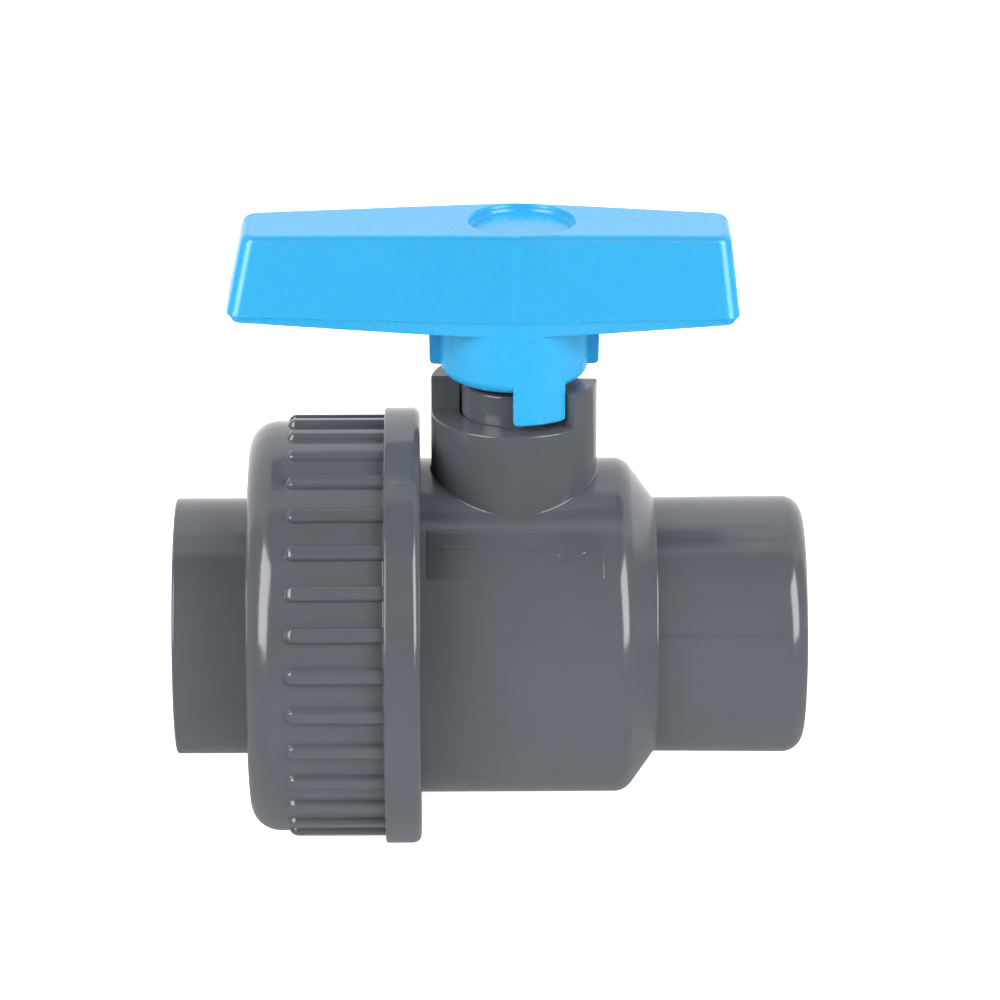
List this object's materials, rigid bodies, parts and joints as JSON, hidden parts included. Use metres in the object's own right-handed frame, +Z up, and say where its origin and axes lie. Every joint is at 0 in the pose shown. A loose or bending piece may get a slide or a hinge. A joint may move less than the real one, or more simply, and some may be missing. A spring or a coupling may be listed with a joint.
{
  "type": "ball valve",
  "caption": "Single-union plastic ball valve with two solvent-weld pipe sockets, a ribbed union nut and a T-handle that turns the ball a quarter turn between stops.",
  "frame": {"origin": "centre of the ball, where the pipe axis crosses the stem axis", "axes": "+X along the pipe towards the fixed socket, +Z up the stem towards the handle, +Y across; the handle bar lies along X with the valve open"},
  "size_m": [0.1525, 0.1064, 0.1567],
  "materials": {
    "grey_pvc": "smooth semi-gloss moulded PVC",
    "blue_abs": "smooth semi-gloss moulded ABS",
    "seat_ptfe": "waxy white PTFE",
    "seal_rubber": "lightly greased EPDM rubber"
  },
  "bodies": {
    "root": {"body": "grey_pvc", "seal_carrier": "grey_pvc", "ball_seat_fixed": "seat_ptfe", "ball_seat_carrier": "seat_ptfe", "seat_cushion_oring_fixed": "seal_rubber", "seat_cushion_oring_carrier": "seal_rubber", "carrier_body_oring": "seal_rubber", "union_face_oring": "seal_rubber"},
    "ball": {"ball": "grey_pvc"},
    "stem": {"stem": "grey_pvc", "stem_oring_lower": "seal_rubber", "stem_oring_upper": "seal_rubber"},
    "handle": {"handle": "blue_abs"},
    "union_end": {"end_connector": "grey_pvc"},
    "nut": {"union_nut": "grey_pvc"}
  },
  "joints": [
    {"name": "stem_turn", "type": "hinge", "parent": "root", "child": "stem", "pos_m": [0, 0, 0], "axis": [0, 0, -1], "range_deg": [0, 90]},
    {"name": "ball_turn", "type": "hinge", "parent": "root", "child": "ball", "pos_m": [0, 0, 0], "axis": [0, 0, -1], "range_deg": [0, 90]},
    {"name": "handle_lift", "type": "slide", "parent": "stem", "child": "handle", "axis": [0, 0, 1], "range_m": [0, 0.018]},
    {"name": "nut_turn", "type": "hinge", "parent": "union_end", "child": "nut", "pos_m": [-0.0639, 0, 0], "axis": [-1, 0, 0], "range_deg": [0, 1296]},
    {"name": "union_withdraw", "type": "slide", "parent": "root", "child": "union_end", "axis": [-1, 0, 0], "range_m": [0, 0.0216]}
  ],
  "couplings": [
    {"joint": "ball_turn", "follows": "stem_turn", "ratio": 1},
    {"joint": "union_withdraw", "follows": "nut_turn", "m_per_rad": 0.00095493}
  ]
}
